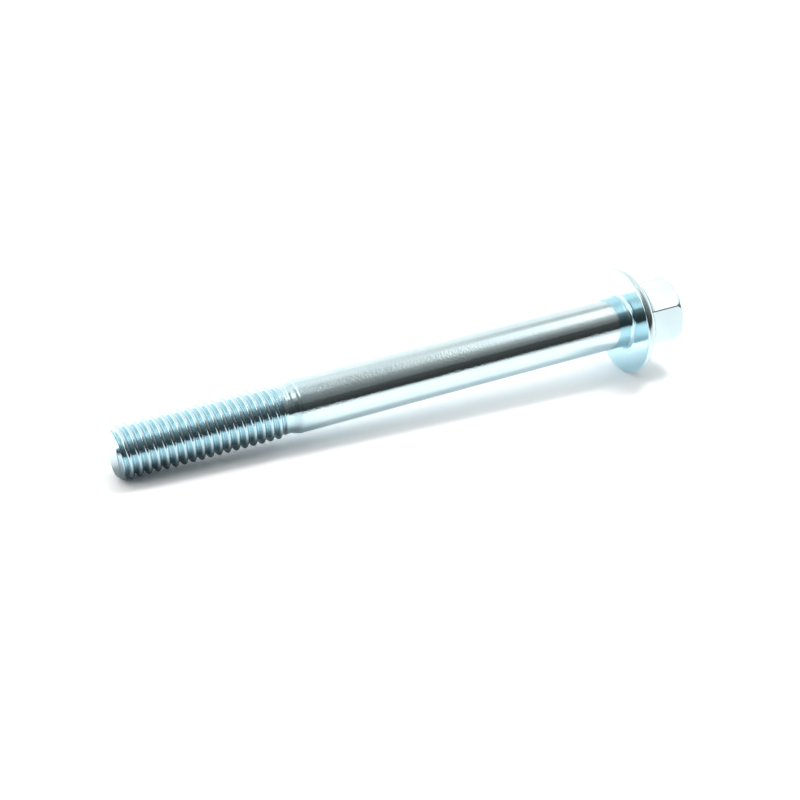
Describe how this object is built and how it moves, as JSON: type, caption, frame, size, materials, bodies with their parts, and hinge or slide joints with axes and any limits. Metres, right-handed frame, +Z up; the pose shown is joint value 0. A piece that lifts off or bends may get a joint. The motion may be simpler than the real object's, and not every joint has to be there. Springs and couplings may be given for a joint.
{
  "type": "hexagon flange screw",
  "caption": "Long hexagon head screw with an integral domed flange, a plain shank and a short coarse thread, lying on its flange and thread.",
  "frame": {"origin": "on the surface that the screw lies on, under the middle of its box", "axes": "+X towards the head along the screw as seen from above, +Z up; the screw's axis lies in the XZ plane and rises 3.05 degrees towards the head"},
  "size_m": [0.088, 0.0162, 0.0162],
  "materials": {
    "zinc_plate": "bright zinc plating with a pale blue passivation, smooth and mirror-like, with a fine grain"
  },
  "bodies": {
    "root": {"flange_screw": "zinc_plate"}
  },
  "joints": []
}
